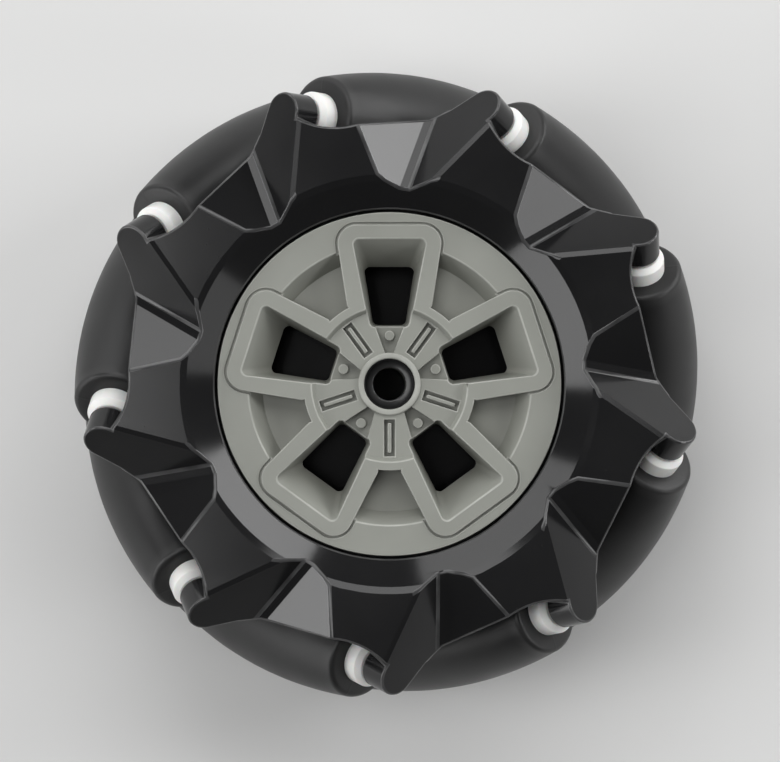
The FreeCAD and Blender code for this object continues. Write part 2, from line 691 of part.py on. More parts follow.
def add_insert_details(body):
    """Slotted spokes, lug tabs with their studs, and the screw pillars under the floor."""
    slot = new_sketch(body, "SlotOutline", lift=f"({SPOKE_TOP} - Sizes.slot_depth)")
    border = "(Sizes.slot_width - Sizes.slot_bar_width) / 2"
    draw_outline(slot, trapezoid("-Sizes.slot_end_radius", "Sizes.slot_width",
                                 "-Sizes.slot_start_radius", "Sizes.slot_width"))
    draw_outline(slot, trapezoid(f"-(Sizes.slot_end_radius - {border})", "Sizes.slot_bar_width",
                                 f"-(Sizes.slot_start_radius + {border})", "Sizes.slot_bar_width"))
    repeat_round(body, "Slots", cut_up(body, "Slot", slot, "2 * Sizes.slot_depth"), SPOKE_COUNT)
    tab = new_sketch(body, "TabOutline", lift=LUG_TAB_TOP)
    draw_outline(tab, trapezoid("Sizes.window_inner_radius + Sizes.window_round", "Sizes.lug_tab_width",
                                "Sizes.centre_boss_diameter / 2", "Sizes.lug_tab_width"))
    repeat_round(body, "Tabs", cut_up(body, "Tab", tab, "2 * Sizes.lug_tab_depth"), SPOKE_COUNT)
    lug = new_sketch(body, "LugCircle", lift=LUG_TAB_TOP)
    draw_circle(lug, "Sizes.lug_diameter", ("0", "Sizes.lug_radius"))
    repeat_round(body, "Lugs", raise_pad(body, "Lug", lug, "Sizes.lug_height"), SPOKE_COUNT)
    pillar = new_sketch(body, "PillarCircle", lift=f"-{WEB_INNER}")
    draw_circle(pillar, "Sizes.pillar_diameter", ("0", "-Sizes.pillar_radius"))
    height = f"({WEB_INNER} + {FLOOR_FOOT})"
    repeat_round(body, "Pillars", raise_pad(body, "Pillar", pillar, height), SPOKE_COUNT)
    hole = new_sketch(body, "PilotCircle", lift=f"-{WEB_INNER}")
    draw_circle(hole, f"2 * {SCREW_HOLE}", ("0", "-Sizes.pillar_radius"))
    depth = f"({WEB_INNER} - {SCREW_TIP} + Sizes.screw_gap)"
    repeat_round(body, "PilotHoles", cut_up(body, "PilotHole", hole, depth), SPOKE_COUNT)


def make_spoke_insert():
    """Spoked centre: a rim that sits in the front half and pillars that take the screws."""
    body = new_body("spoke_insert")
    add_insert_plate(body)
    add_insert_loops(body)
    add_insert_details(body)
    add_insert_centre(body)
    body.Placement = Placement(Vector(0, 0, number(HALF_WIDTH)), Rotation())
    return body


def make_screws():
    """Five screws from the rear, as one group of separate solids."""
    body = new_body("screw_master")
    sketch = new_sketch(body, "ScrewProfile", "XZ_Plane")
    shank = "(Sizes.screw_diameter / 2)"
    head = "(Sizes.screw_head_diameter / 2)"
    draw_outline(sketch, [
        ("0", "-Sizes.screw_length"),
        (shank, f"-(Sizes.screw_length - {shank})"),
        (shank, "0"),
        (head, "0"),
        (head, "Sizes.screw_head_height / 2"),
        (f"({head} - Sizes.screw_head_height / 2)", "Sizes.screw_head_height"),
        ("0", "Sizes.screw_head_height"),
    ])
    turn_profile(body, "Screw", sketch)
    doc.recompute()
    level = number(HALF_WIDTH) - number(HEAD_SEAT)
    over = Rotation(Vector(1, 0, 0), FULL_TURN / 2)
    screws = []
    for place in range(SPOKE_COUNT):
        angle = FULL_TURN / SPOKE_COUNT * (place + 1 / 2)
        swing = Rotation(Vector(0, 0, 1), angle)
        spot_on_circle = swing.multVec(Vector(0, number("Sizes.pillar_radius"), level))
        screw = body.Shape.copy()
        screw.Placement = Placement(spot_on_circle, over)
        screws.append(screw)
    group = doc.addObject("Part::Feature", "assembly_screws")
    group.Label = "assembly_screws"
    group.Shape = Part.makeCompound(screws)
    return group


subparts = [make_front_hub(), make_rear_hub(), make_spoke_insert(), make_screws()]
for roller in range(ROLLER_COUNT):
    subparts.append(make_roller_pin(roller))
    subparts.append(make_roller_core(roller))
    subparts.append(make_roller_tyre(roller))
doc.recompute()

faults = [item.Name for item in doc.Objects if "Invalid" in item.State or "Error" in item.State]
faults += [part.Label for part in subparts if part.Shape.isNull() or not part.Shape.isValid()]
if faults:
    raise RuntimeError(f"Not built: {', '.join(faults)}")

os.makedirs("parts", exist_ok=True)
for part in subparts:
    part.Shape.exportStep(f"parts/{part.Label}.step")
    print(part.Label, len(part.Shape.Solids), round(part.Shape.Volume, 1))
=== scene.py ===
"""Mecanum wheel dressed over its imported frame: hub halves, spoke insert, rollers, screws and a studio."""

import json
import logging
import math
from collections.abc import Callable, Iterable, Sequence
from dataclasses import dataclass
from enum import Enum
from typing import Any

import bmesh
import bpy
from mathutils import Matrix, Vector

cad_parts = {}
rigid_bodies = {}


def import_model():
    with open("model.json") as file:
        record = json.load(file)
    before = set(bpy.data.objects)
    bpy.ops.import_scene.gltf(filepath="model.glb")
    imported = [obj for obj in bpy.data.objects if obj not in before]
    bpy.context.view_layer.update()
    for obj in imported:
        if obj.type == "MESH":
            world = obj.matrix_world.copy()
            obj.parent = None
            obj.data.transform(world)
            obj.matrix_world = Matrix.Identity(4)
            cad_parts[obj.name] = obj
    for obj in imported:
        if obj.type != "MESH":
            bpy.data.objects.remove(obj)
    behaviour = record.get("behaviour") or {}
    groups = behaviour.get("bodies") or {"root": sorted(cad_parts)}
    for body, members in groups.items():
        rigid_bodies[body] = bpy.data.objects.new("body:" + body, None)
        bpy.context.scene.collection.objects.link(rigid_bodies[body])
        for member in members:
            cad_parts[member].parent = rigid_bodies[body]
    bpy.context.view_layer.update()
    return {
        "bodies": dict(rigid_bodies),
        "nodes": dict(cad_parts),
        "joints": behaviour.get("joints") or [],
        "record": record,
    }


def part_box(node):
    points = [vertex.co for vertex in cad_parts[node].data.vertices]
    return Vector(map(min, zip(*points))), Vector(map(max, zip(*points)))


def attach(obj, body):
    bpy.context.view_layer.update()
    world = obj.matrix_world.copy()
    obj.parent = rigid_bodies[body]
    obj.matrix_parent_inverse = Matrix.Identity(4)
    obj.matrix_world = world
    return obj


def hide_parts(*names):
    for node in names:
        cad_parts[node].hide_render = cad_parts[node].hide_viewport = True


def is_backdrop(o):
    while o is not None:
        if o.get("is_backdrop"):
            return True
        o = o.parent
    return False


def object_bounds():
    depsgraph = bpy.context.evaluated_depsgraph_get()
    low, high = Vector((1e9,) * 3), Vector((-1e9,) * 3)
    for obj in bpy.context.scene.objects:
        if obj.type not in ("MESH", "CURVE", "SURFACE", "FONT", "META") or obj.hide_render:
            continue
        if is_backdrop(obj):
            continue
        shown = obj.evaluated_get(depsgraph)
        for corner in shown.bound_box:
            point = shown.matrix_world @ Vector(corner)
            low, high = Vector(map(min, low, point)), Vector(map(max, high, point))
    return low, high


LOG = logging.getLogger("mecanum_wheel")
HUB_BODY = "hub"
EDGE_LAYER = "edge_round"
OWN_PLACE_LAYER = "own_place"
MM = 0.001

Colour = tuple[float, float, float, float]
Profile = list[tuple[float, float]]


class Slot(Enum):
    """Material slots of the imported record."""

    BLACK_PLASTIC = "black_plastic"
    GREY_PLASTIC = "grey_plastic"
    WHITE_NYLON = "white_nylon"
    BLACK_RUBBER = "black_rubber"
    STEEL = "steel"


class Effect(Enum):
    """Surface effects that several finishes share."""

    MOULD_GRAIN = "mould_grain"
    EDGE_WEAR_AND_HIGHLIGHT = "edge_wear_and_highlight"
    FINE_DUST = "fine_dust"


class NodeBoard:
    """A node tree with short ways to add and join nodes."""

    def __init__(self, tree: bpy.types.NodeTree) -> None:
        """Keep the tree and empty it.

        Args:
            tree: Node tree of a material, a world or a group.
        """
        self.tree = tree
        self.tree.nodes.clear()

    def feed(self, socket: bpy.types.NodeSocket, value: Any) -> None:
        """Join an input to another socket or give it a value.

        Args:
            socket: Input to feed.
            value: Socket to join or value to set.
        """
        if isinstance(value, bpy.types.NodeSocket):
            self.tree.links.new(value, socket)
        else:
            socket.default_value = value

    def add(self, kind: str, inputs: dict[str | int, Any] | None = None, **settings: Any) -> bpy.types.Node:
        """Add a node, set its properties, and feed its inputs.

        Args:
            kind: Node type without its ShaderNode prefix.
            inputs: Values or sockets by input name or index.
            settings: Properties of the node.

        Returns:
            The new node.
        """
        prefix = "" if kind.startswith("NodeGroup") else "ShaderNode"
        node = self.tree.nodes.new(prefix + kind)
        for name, value in settings.items():
            setattr(node, name, value)
        for key, value in (inputs or {}).items():
            self.feed(node.inputs[key], value)
        return node

    def math(self, operation: str, *values: Any) -> bpy.types.NodeSocket:
        """Add a math node and return the socket of its result."""
        return self.add("Math", dict(enumerate(values)), operation=operation).outputs[0]

    def spread(self, value: bpy.types.NodeSocket, low: float, high: float, start: float,
               end: float) -> bpy.types.NodeSocket:
        """Map a value from one range to another, held at the ends.

        Args:
            value: Socket to map.
            low: Value that gives start.
            high: Value that gives end.
            start: Result at low.
            end: Result at high.

        Returns:
            Socket of the result.
        """
        ends = {"Value": value, "From Min": low, "From Max": high, "To Min": start, "To Max": end}
        return self.add("MapRange", ends).outputs["Result"]

    def blend(self, factor: Any, first: Any, second: Any) -> bpy.types.NodeSocket:
        """Blend two colours.

        Args:
            factor: Share of the second colour.
            first: First colour or its socket.
            second: Second colour or its socket.

        Returns:
            Socket of the blended colour.
        """
        node = self.add("Mix", data_type="RGBA", blend_type="MIX", clamp_factor=True)
        colour_inputs = [socket for socket in node.inputs if socket.type == "RGBA"]
        for socket, value in zip([node.inputs[0], *colour_inputs], [factor, first, second]):
            self.feed(socket, value)
        return next(socket for socket in node.outputs if socket.type == "RGBA")


def new_material(name: str) -> tuple[bpy.types.Material, NodeBoard]:
    """Make a material with no nodes yet.

    Args:
        name: Name of the material.

    Returns:
        The material and the board of its nodes.
    """
    material = bpy.data.materials.new(name)
    material.use_nodes = True
    return material, NodeBoard(material.node_tree)


class EffectShop:
    """Builds each shared effect once, as a shader node group, and places it in materials."""

    grain_detail = 4.0
    tone_detail = 3.0
    tone_range = (0.3, 0.7)
    patch_scale = 260.0
    patch_detail = 4.0
    patch_range = (0.3, 0.62)
    patch_least = 0.35
    speck_scale = 620.0
    speck_range = (0.05, 0.09)
    speck_limit = 0.72
    film_scale = 95.0
    film_detail = 6.0
    film_roughness = 0.65
    film_range = (0.5, 0.75)
    film_most = 0.35

    def __init__(self) -> None:
        """Start with no group built."""
        self._groups: dict[Effect, bpy.types.NodeTree] = {}
        self._makers: dict[Effect, Callable[[bpy.types.NodeTree], None]] = {
            Effect.MOULD_GRAIN: self._mould_grain,
            Effect.EDGE_WEAR_AND_HIGHLIGHT: self._edge_wear_and_highlight,
            Effect.FINE_DUST: self._fine_dust,
        }

    def place(self, board: NodeBoard, effect: Effect, inputs: dict[str, Any]) -> bpy.types.Node:
        """Place an effect in a material with its own values.

        Args:
            board: Board of the material.
            effect: Effect to place.
            inputs: Values or sockets for the group's inputs.

        Returns:
            The group node.
        """
        if effect not in self._groups:
            self._groups[effect] = bpy.data.node_groups.new(effect.value, "ShaderNodeTree")
            self._makers[effect](self._groups[effect])
        return board.add("Group", inputs, node_tree=self._groups[effect])

    @staticmethod
    def _open(tree: bpy.types.NodeTree, inputs: dict[str, str],
              outputs: dict[str, str]) -> tuple[NodeBoard, Any, bpy.types.NodeSocket]:
        """Give a group its named inputs and outputs.

        Args:
            tree: The group.
            inputs: Kinds of the inputs by name.
            outputs: Kinds of the outputs by name.

        Returns:
            The group's board, the sockets of its inputs, and the place on the object.
        """
        for direction, names in (("INPUT", inputs), ("OUTPUT", outputs)):
            for name, kind in names.items():
                tree.interface.new_socket(name, in_out=direction, socket_type=f"NodeSocket{kind}")
        board = NodeBoard(tree)
        return board, board.add("NodeGroupInput").outputs, board.add("TexCoord").outputs["Object"]

    def _mould_grain(self, tree: bpy.types.NodeTree) -> None:
        """Fine grain and slow tone changes of a moulded surface.

        Args:
            tree: The group to fill.
        """
        board, values, place = self._open(
            tree, {"Fineness": "Float", "Blotch": "Float"}, {"Height": "Float", "Tone": "Float"})
        fine = board.add("TexNoise", {
            "Vector": place, "Scale": values["Fineness"], "Detail": self.grain_detail})
        slow = board.add("TexNoise", {
            "Vector": place, "Scale": values["Blotch"], "Detail": self.tone_detail})
        tone = board.spread(slow.outputs["Fac"], *self.tone_range, 0.0, 1.0)
        board.add("NodeGroupOutput", {"Height": fine.outputs["Fac"], "Tone": tone})

    def _edge_wear_and_highlight(self, tree: bpy.types.NodeTree) -> None:
        """Lighter tone along the rounded edges: partly wear, partly a painted highlight.

        Args:
            tree: The group to fill.
        """
        wanted = {"Colour": "Color", "Edge Wear And Highlight Colour": "Color", "Amount": "Float"}
        board, values, place = self._open(tree, wanted, {"Colour": "Color"})
        edge = board.add("Attribute", attribute_name=EDGE_LAYER).outputs["Fac"]
        patches = board.add("TexNoise", {
            "Vector": place, "Scale": self.patch_scale, "Detail": self.patch_detail})
        broken = board.spread(patches.outputs["Fac"], *self.patch_range, self.patch_least, 1.0)
        mask = board.math("MULTIPLY", board.math("MULTIPLY", edge, broken), values["Amount"])
        colour = board.blend(mask, values["Colour"], values["Edge Wear And Highlight Colour"])
        board.add("NodeGroupOutput", {"Colour": colour})

    def _fine_dust(self, tree: bpy.types.NodeTree) -> None:
        """Sparse specks and a thin uneven film of dust.

        Args:
            tree: The group to fill.
        """
        wanted = {"Colour": "Color", "Dust Colour": "Color", "Amount": "Float"}
        board, values, place = self._open(tree, wanted, {"Colour": "Color", "Mask": "Float"})
        cells = board.add("TexVoronoi", {"Vector": place, "Scale": self.speck_scale, "Randomness": 1.0})
        speck = board.spread(cells.outputs["Distance"], *self.speck_range, 1.0, 0.0)
        lot = board.add("SeparateColor", {0: cells.outputs["Color"]}).outputs[0]
        chosen = board.math("GREATER_THAN", lot, self.speck_limit)
        film = board.add("TexNoise", {
            "Vector": place, "Scale": self.film_scale, "Detail": self.film_detail,
            "Roughness": self.film_roughness})
        film_mask = board.spread(film.outputs["Fac"], *self.film_range, 0.0, self.film_most)
        both = board.math("MAXIMUM", board.math("MULTIPLY", speck, chosen), film_mask)
        mask = board.math("MULTIPLY", both, values["Amount"])
        colour = board.blend(mask, values["Colour"], values["Dust Colour"])
        board.add("NodeGroupOutput", {"Colour": colour, "Mask": mask})


@dataclass(frozen=True)
class MouldedFinish:
    """A moulded plastic or rubber: its colours, gloss and grain."""

    slot: Slot
    colour: Colour
    shade: Colour
    edge_wear_and_highlight_colour: Colour
    edge_wear_and_highlight_amount: float
    gloss_low: float
    gloss_high: float
    fineness: float
    blotch: float
    grain_depth: float
    dust_amount: float
    dust_colour: Colour = (0.32, 0.31, 0.29, 1.0)
    dust_dulling: float = 0.3
    refraction: float = 1.5
    glow: float = 0.0
    glow_depth: float = 1.2 * MM
    seam_height: float = 0.0
    seam_edges: tuple[float, float] = (0.05 * MM, 0.16 * MM)
    painted_shade_colour: Colour | None = None
    painted_shade_levels: tuple[float, float] = (0.0, 0.0)

    def build(self, shop: EffectShop) -> bpy.types.Material:
        """Make the material.

        Args:
            shop: Shop of the shared effects.

        Returns:
            The material.
        """
        material, board = new_material(self.slot.value)
        grain = shop.place(board, Effect.MOULD_GRAIN, {"Fineness": self.fineness, "Blotch": self.blotch})
        tone = grain.outputs["Tone"]
        toned = board.blend(tone, self.shade, self.colour)
        # painted shade: the colour darkens with depth towards the bottom of the hollows
        if self.painted_shade_colour:
            toned = board.blend(self._painted_shade_mask(board), toned, self.painted_shade_colour)
        # edge wear and painted highlight: the rounds are painted lighter
        edged = shop.place(board, Effect.EDGE_WEAR_AND_HIGHLIGHT, {
            "Colour": toned, "Edge Wear And Highlight Colour": self.edge_wear_and_highlight_colour, "Amount": self.edge_wear_and_highlight_amount})
        dusted = shop.place(board, Effect.FINE_DUST, {
            "Colour": edged.outputs["Colour"], "Dust Colour": self.dust_colour, "Amount": self.dust_amount})
        gloss = board.spread(tone, 0.0, 1.0, self.gloss_low, self.gloss_high)
        dull = board.math("ADD", gloss, board.math("MULTIPLY", dusted.outputs["Mask"], self.dust_dulling))
        height = grain.outputs["Height"]
        if self.seam_height:
            height = board.math("ADD", height, self._seam(board))
        bump = board.add("Bump", {"Strength": 1.0, "Distance": self.grain_depth, "Height": height})
        surface = board.add("BsdfPrincipled", {
            "Base Color": dusted.outputs["Colour"], "Roughness": dull, "Normal": bump.outputs["Normal"],
            "IOR": self.refraction, "Subsurface Weight": self.glow, "Subsurface Scale": self.glow_depth})
        board.add("OutputMaterial", {"Surface": surface.outputs[0]})
        return material

    def _painted_shade_mask(self, board: NodeBoard) -> bpy.types.NodeSocket:
        """Mask of the painted shade, which darkens the colour towards the bottom of the piece's hollows.

        Args:
            board: Board of the material.

        Returns:
            Socket of the mask.
        """
        place = board.add("TexCoord").outputs["Object"]
        height = board.add("SeparateXYZ", {0: place}).outputs["Z"]
        return board.spread(height, *self.painted_shade_levels, 1.0, 0.0)

    def _seam(self, board: NodeBoard) -> bpy.types.NodeSocket:
        """Height of the mould's parting line, which runs along the piece in the plane of its own X and Z.

        Args:
            board: Board of the material.

        Returns:
            Socket of the height.
        """
        place = board.add("Attribute", attribute_name=OWN_PLACE_LAYER).outputs["Vector"]
        across = board.add("SeparateXYZ", {0: place}).outputs["Y"]
        return board.spread(board.math("ABSOLUTE", across), *self.seam_edges, self.seam_height, 0.0)


@dataclass(frozen=True)
class SteelFinish:
    """Bright steel with fine marks and lighter edges."""

    slot: Slot = Slot.STEEL
    colour: Colour = (0.60, 0.60, 0.61, 1.0)
    shade: Colour = (0.42, 0.42, 0.43, 1.0)
    edge_wear_and_highlight_colour: Colour = (0.78, 0.78, 0.79, 1.0)
    edge_wear_and_highlight_amount: float = 0.7
    gloss_low: float = 0.22
    gloss_high: float = 0.40
    blotch: float = 700.0
    mark_fineness: float = 9000.0
    mark_range: tuple[float, float] = (0.3, 0.7)
    mark_strength: float = 0.4
    mark_depth: float = 0.003 * MM

    def build(self, shop: EffectShop) -> bpy.types.Material:
        """Make the material.

        Args:
            shop: Shop of the shared effects.

        Returns:
            The material.
        """
        material, board = new_material(self.slot.value)
        grain = shop.place(board, Effect.MOULD_GRAIN, {
            "Fineness": self.mark_fineness, "Blotch": self.blotch})
        toned = board.blend(grain.outputs["Tone"], self.shade, self.colour)
        # edge wear and painted highlight: the rounds are painted lighter
        edged = shop.place(board, Effect.EDGE_WEAR_AND_HIGHLIGHT, {
            "Colour": toned, "Edge Wear And Highlight Colour": self.edge_wear_and_highlight_colour, "Amount": self.edge_wear_and_highlight_amount})
        marks = grain.outputs["Height"]
        gloss = board.spread(marks, *self.mark_range, self.gloss_low, self.gloss_high)
        bump = board.add("Bump", {
            "Strength": self.mark_strength, "Distance": self.mark_depth, "Height": marks})
        surface = board.add("BsdfPrincipled", {
            "Base Color": edged.outputs["Colour"], "Roughness": gloss, "Metallic": 1.0,
            "Normal": bump.outputs["Normal"]})
        board.add("OutputMaterial", {"Surface": surface.outputs[0]})
        return material


class FinishRack:
    """All finishes of the wheel, each built once."""

    finishes: tuple[MouldedFinish | SteelFinish, ...] = (
        MouldedFinish(
            slot=Slot.BLACK_PLASTIC, colour=(0.0115, 0.0115, 0.0120, 1.0),
            shade=(0.0090, 0.0090, 0.0095, 1.0), edge_wear_and_highlight_colour=(0.085, 0.085, 0.086, 1.0), edge_wear_and_highlight_amount=0.8,
            gloss_low=0.11, gloss_high=0.15, fineness=5200.0, blotch=60.0, grain_depth=0.0008 * MM,
            dust_amount=0.015, refraction=1.46),
        MouldedFinish(
            slot=Slot.GREY_PLASTIC, colour=(0.295, 0.302, 0.272, 1.0), shade=(0.270, 0.276, 0.248, 1.0),
            edge_wear_and_highlight_colour=(0.46, 0.465, 0.43, 1.0), edge_wear_and_highlight_amount=0.75, gloss_low=0.36, gloss_high=0.46,
            fineness=7000.0, blotch=140.0, grain_depth=0.004 * MM, dust_amount=0.12,
            # painted shade in the hollows, darkest at the lower level and gone at the upper
            dust_colour=(0.24, 0.235, 0.21, 1.0), painted_shade_colour=(0.175, 0.177, 0.155, 1.0),
            painted_shade_levels=(29.2 * MM, 33.1 * MM)),
        MouldedFinish(
            slot=Slot.WHITE_NYLON, colour=(0.84, 0.84, 0.82, 1.0), shade=(0.80, 0.80, 0.775, 1.0),
            edge_wear_and_highlight_colour=(0.88, 0.88, 0.87, 1.0), edge_wear_and_highlight_amount=0.4, gloss_low=0.34, gloss_high=0.44,
            fineness=6000.0, blotch=220.0, grain_depth=0.003 * MM, dust_amount=0.10, glow=0.12,
            dust_colour=(0.55, 0.54, 0.50, 1.0)),
        MouldedFinish(
            slot=Slot.BLACK_RUBBER, colour=(0.0095, 0.0095, 0.0098, 1.0),
            shade=(0.0075, 0.0075, 0.0078, 1.0), edge_wear_and_highlight_colour=(0.030, 0.030, 0.030, 1.0), edge_wear_and_highlight_amount=0.5,
            gloss_low=0.36, gloss_high=0.46, fineness=5200.0, blotch=110.0, grain_depth=0.008 * MM,
            dust_amount=0.02, refraction=1.44, seam_height=1.6),
        SteelFinish(),
    )

    def __init__(self) -> None:
        """Start with no material built."""
        self.shop = EffectShop()
        self._materials: dict[Slot, bpy.types.Material] = {}

    def material(self, slot: Slot) -> bpy.types.Material:
        """Material of a slot, built on first use.

        Args:
            slot: Slot of the record.

        Returns:
            The material.
        """
        if slot not in self._materials:
            finish = next(finish for finish in self.finishes if finish.slot == slot)
            self._materials[slot] = finish.build(self.shop)
        return self._materials[slot]


def smooth_data(name: str, mesh: bmesh.types.BMesh) -> bpy.types.Mesh:
    """Turn a working mesh into smooth mesh data.

    Args:
        name: Name of the data.
        mesh: Working mesh, which is used up.

    Returns:
        The data.
    """
    data = bpy.data.meshes.new(name)
    mesh.to_mesh(data)
    mesh.free()
    for polygon in data.polygons:
        polygon.use_smooth = True
    return data


def new_object(name: str, data: bpy.types.ID) -> bpy.types.Object:
    """Make an object of its data and link it to the scene.

    Args:
        name: Name of the object.
        data: Mesh, light or camera.

    Returns:
        The object.
    """
    made = bpy.data.objects.new(name, data)
    bpy.context.scene.collection.objects.link(made)
    return made


class PieceMaker:
    """Turns meshes into finished pieces that ride on the frame's bodies."""

    smooth_angle = math.radians(40.0)

    def __init__(self, frame: dict[str, Any], rack: FinishRack) -> None:
        """Keep the frame and the finishes.

        Args:
            rack: Finishes of the wheel.
        """
        self.frame = frame
        self.rack = rack

    def finish(self, name: str, mesh: bmesh.types.BMesh, slot: Slot, body: str,
               stands_for: Iterable[str] = (), normals: list[Vector] | None = None) -> None:
        """Make an object of a mesh, dress it, and set it on its body.

        Args:
            name: Name of the piece.
            mesh: Mesh of the piece, which is used up.
            slot: Material slot.
            body: Body that the piece rides on.
            stands_for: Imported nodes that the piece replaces.
            normals: Normal of each face corner, if the piece brings its own.
        """
        data = smooth_data(name, mesh)
        if normals is None:
            data.set_sharp_from_angle(angle=self.smooth_angle)
        else:
            data.normals_split_custom_set(normals)
        data.materials.append(self.rack.material(slot))
        piece = new_object(name, data)
        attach(piece, body)
        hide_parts(*stands_for)
        LOG.info("%s: %d faces on %s", name, len(data.polygons), body)

    def dress(self, node: str, slot: Slot) -> None:
        """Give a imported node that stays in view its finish.

        Args:
            node: Name of the node.
            slot: Material slot.
        """
        shown = self.frame["nodes"][node]
        if not shown.material_slots:
            shown.data.materials.append(None)
        for holder in shown.material_slots:
            holder.material = self.rack.material(slot)
        LOG.info("%s: kept, dressed as %s", node, slot.value)


def roller_place(joint: dict[str, Any]) -> Matrix:
    """Frame of a roller: Z along its axis, X away from the wheel's axis.

    Args:
        joint: Joint that the roller spins on.

    Returns:
        Matrix from the roller's frame to the wheel's.
    """
    middle, axis = Vector(joint["pos_m"]), Vector(joint["axis"]).normalized()
    outward = Vector((middle.x, middle.y, 0.0)).normalized()
    side = axis.cross(outward).normalized()
    return Matrix.Translation(middle) @ Matrix((outward, side, axis)).transposed().to_4x4()


@dataclass(frozen=True)
class HornFlank:
    """Straight flank that fills the notch between each round horn and its tooth.

    Points are distances outward and sideways from the roller's axis; near and face are distances along it.
    """

    horn_radius: float = 2.65 * MM
    top: tuple[float, float] = (0.85 * MM, 2.51 * MM)
    notch: tuple[float, float] = (-2.005 * MM, 1.733 * MM)
    corner: tuple[float, float] = (-2.87 * MM, 3.766 * MM)
    near: float = 19.4 * MM
    face: float = 23.1 * MM
    face_slack: float = 0.1 * MM
    margin: float = 0.6 * MM
    strip: float = 0.3 * MM
    least_side: float = 1.0 * MM

    def fill(self, mesh: bmesh.types.BMesh, joints: Iterable[dict[str, Any]]) -> None:
        """Move the rounded outline of each notch out to the flank.

        Args:
            mesh: Rounded mesh of a hub half.
            joints: Joints of the rollers.
        """
        for place in map(roller_place, joints):
            home = place.inverted()
            for vertex in mesh.verts:
                spot = home @ vertex.co
                depth = abs(spot.z)
                if self.corner[0] < spot.x < self.top[0] and self.near < depth < self.face + self.face_slack:
                    hand = math.copysign(1.0, spot.z)
                    side = self._filled(spot.x, spot.y * hand, depth)
                    vertex.co = place @ Vector((spot.x, side * hand, spot.z))

    def _filled(self, outward: float, side: float, depth: float) -> float:
        """Side distance of a vertex once the notch is filled.

        The face's rounded strip goes out to the flank, and the wall behind it less and less.

        Args:
            outward: Distance of the vertex outward.
            side: Distance of the vertex sideways.
            depth: Distance of the vertex along the axis.

        Returns:
            The new distance sideways.
        """
        if outward < self.notch[0]:
            outline = self._along(outward, self.notch, self.corner)
        else:
            outline = math.sqrt(self.horn_radius ** 2 - outward ** 2)
        flank = self._along(outward, self.top, self.corner)
        level = max(0.0, 1.0 - max(0.0, self.face - depth) / self.strip)
        if level > 0.0 and side > self.least_side:
            return flank - self.strip * (1.0 - math.sqrt(1.0 - level ** 2))
        if abs(side - outline) < self.margin:
            return side + (flank - outline) * (depth - self.near) / (self.face - self.near)
        return side

    @staticmethod
    def _along(outward: float, first: tuple[float, float], last: tuple[float, float]) -> float:
        """Side distance of the straight line through two points at a distance outward."""
        return first[1] + (last[1] - first[1]) * (outward - first[0]) / (last[0] - first[0])


@dataclass(frozen=True)
class PadTaper:
    """Taper of the lug pads towards the centre, which leaves even spokes between them."""

    count: int = 5
    first_azimuth: float = 90.0
    corner: tuple[float, float] = (3.8 * MM, 1.7 * MM)
    reach: float = 0.2 * MM
    shift: float = 1.2 * MM
    least_height: float = 31.0 * MM

    def narrow(self, mesh: bmesh.types.BMesh) -> None:
        """Move the inner corners of each pad together.

        Args:
            mesh: Rounded mesh of the insert.
        """
        for step in range(self.count):
            azimuth = math.radians(self.first_azimuth + 360.0 * step / self.count)
            outward = Vector((math.cos(azimuth), math.sin(azimuth), 0.0))
            side = Vector((-outward.y, outward.x, 0.0))
            for vertex in mesh.verts:
                spot = Vector((vertex.co.dot(outward), vertex.co.dot(side)))
                hand = math.copysign(1.0, spot.y)
                away = (Vector((spot.x, spot.y * hand)) - Vector(self.corner)).length
                if away < self.reach and vertex.co.z > self.least_height:
                    vertex.co -= side * hand * self.shift


